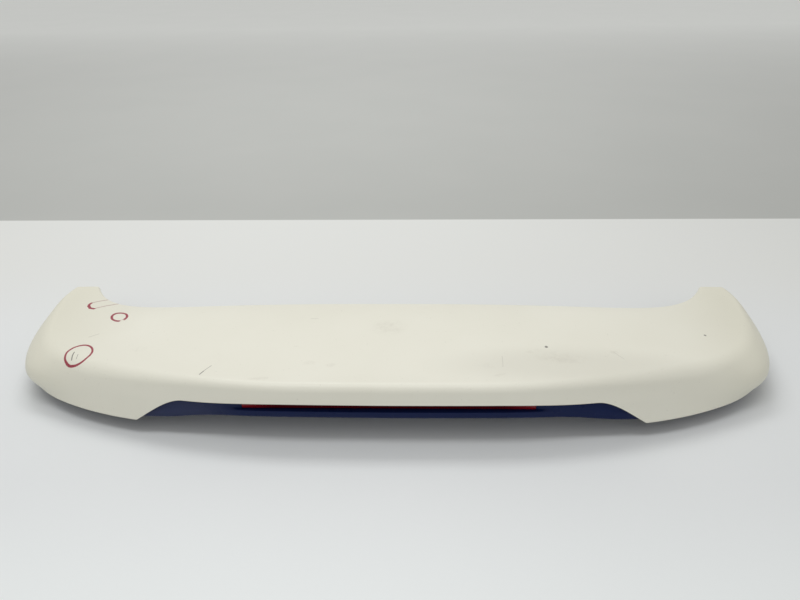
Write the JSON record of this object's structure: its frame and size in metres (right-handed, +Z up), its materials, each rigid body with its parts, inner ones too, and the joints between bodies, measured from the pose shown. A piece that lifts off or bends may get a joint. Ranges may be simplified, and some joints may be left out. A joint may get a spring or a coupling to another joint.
{
  "type": "rear spoiler",
  "caption": "Two-tone tailgate spoiler: painted skin with wrapped ends and horns, dark lower band and a slim stop lamp.",
  "frame": {"origin": "on the resting plane, under the middle of the outline seen from above", "axes": "+X across the car to the viewer's right, +Y towards the front edge and the horns, +Z up out of the painted top"},
  "size_m": [1.191, 0.3311, 0.0912],
  "materials": {
    "ivory_paint": "painted, lightly dulled",
    "dark_paint": "gloss painted",
    "red_lens": "clear red moulding",
    "foam": "closed-cell foam",
    "rubber": "extruded rubber",
    "black_plastic": "moulded",
    "bright_plating": "plated plastic",
    "board": "coated board",
    "led_resin": "clear resin",
    "natural_plastic": "undyed moulding",
    "steel": "zinc plated",
    "zinc_steel": "yellow zinc plated"
  },
  "bodies": {
    "root": {"upper_skin": "ivory_paint", "lower_panel": "dark_paint", "lamp_lens": "red_lens", "lamp_gasket": "foam", "lamp_housing": "black_plastic", "lamp_reflector": "bright_plating", "lamp_board": "board", "lamp_leds": "led_resin", "lamp_connector": "natural_plastic", "lamp_screws": "steel", "panel_screws": "steel", "stud_bolts": "zinc_steel", "stud_seals": "foam", "push_clips": "natural_plastic", "clip_seals": "foam", "front_seal": "rubber", "end_pads": "foam"}
  },
  "joints": []
}
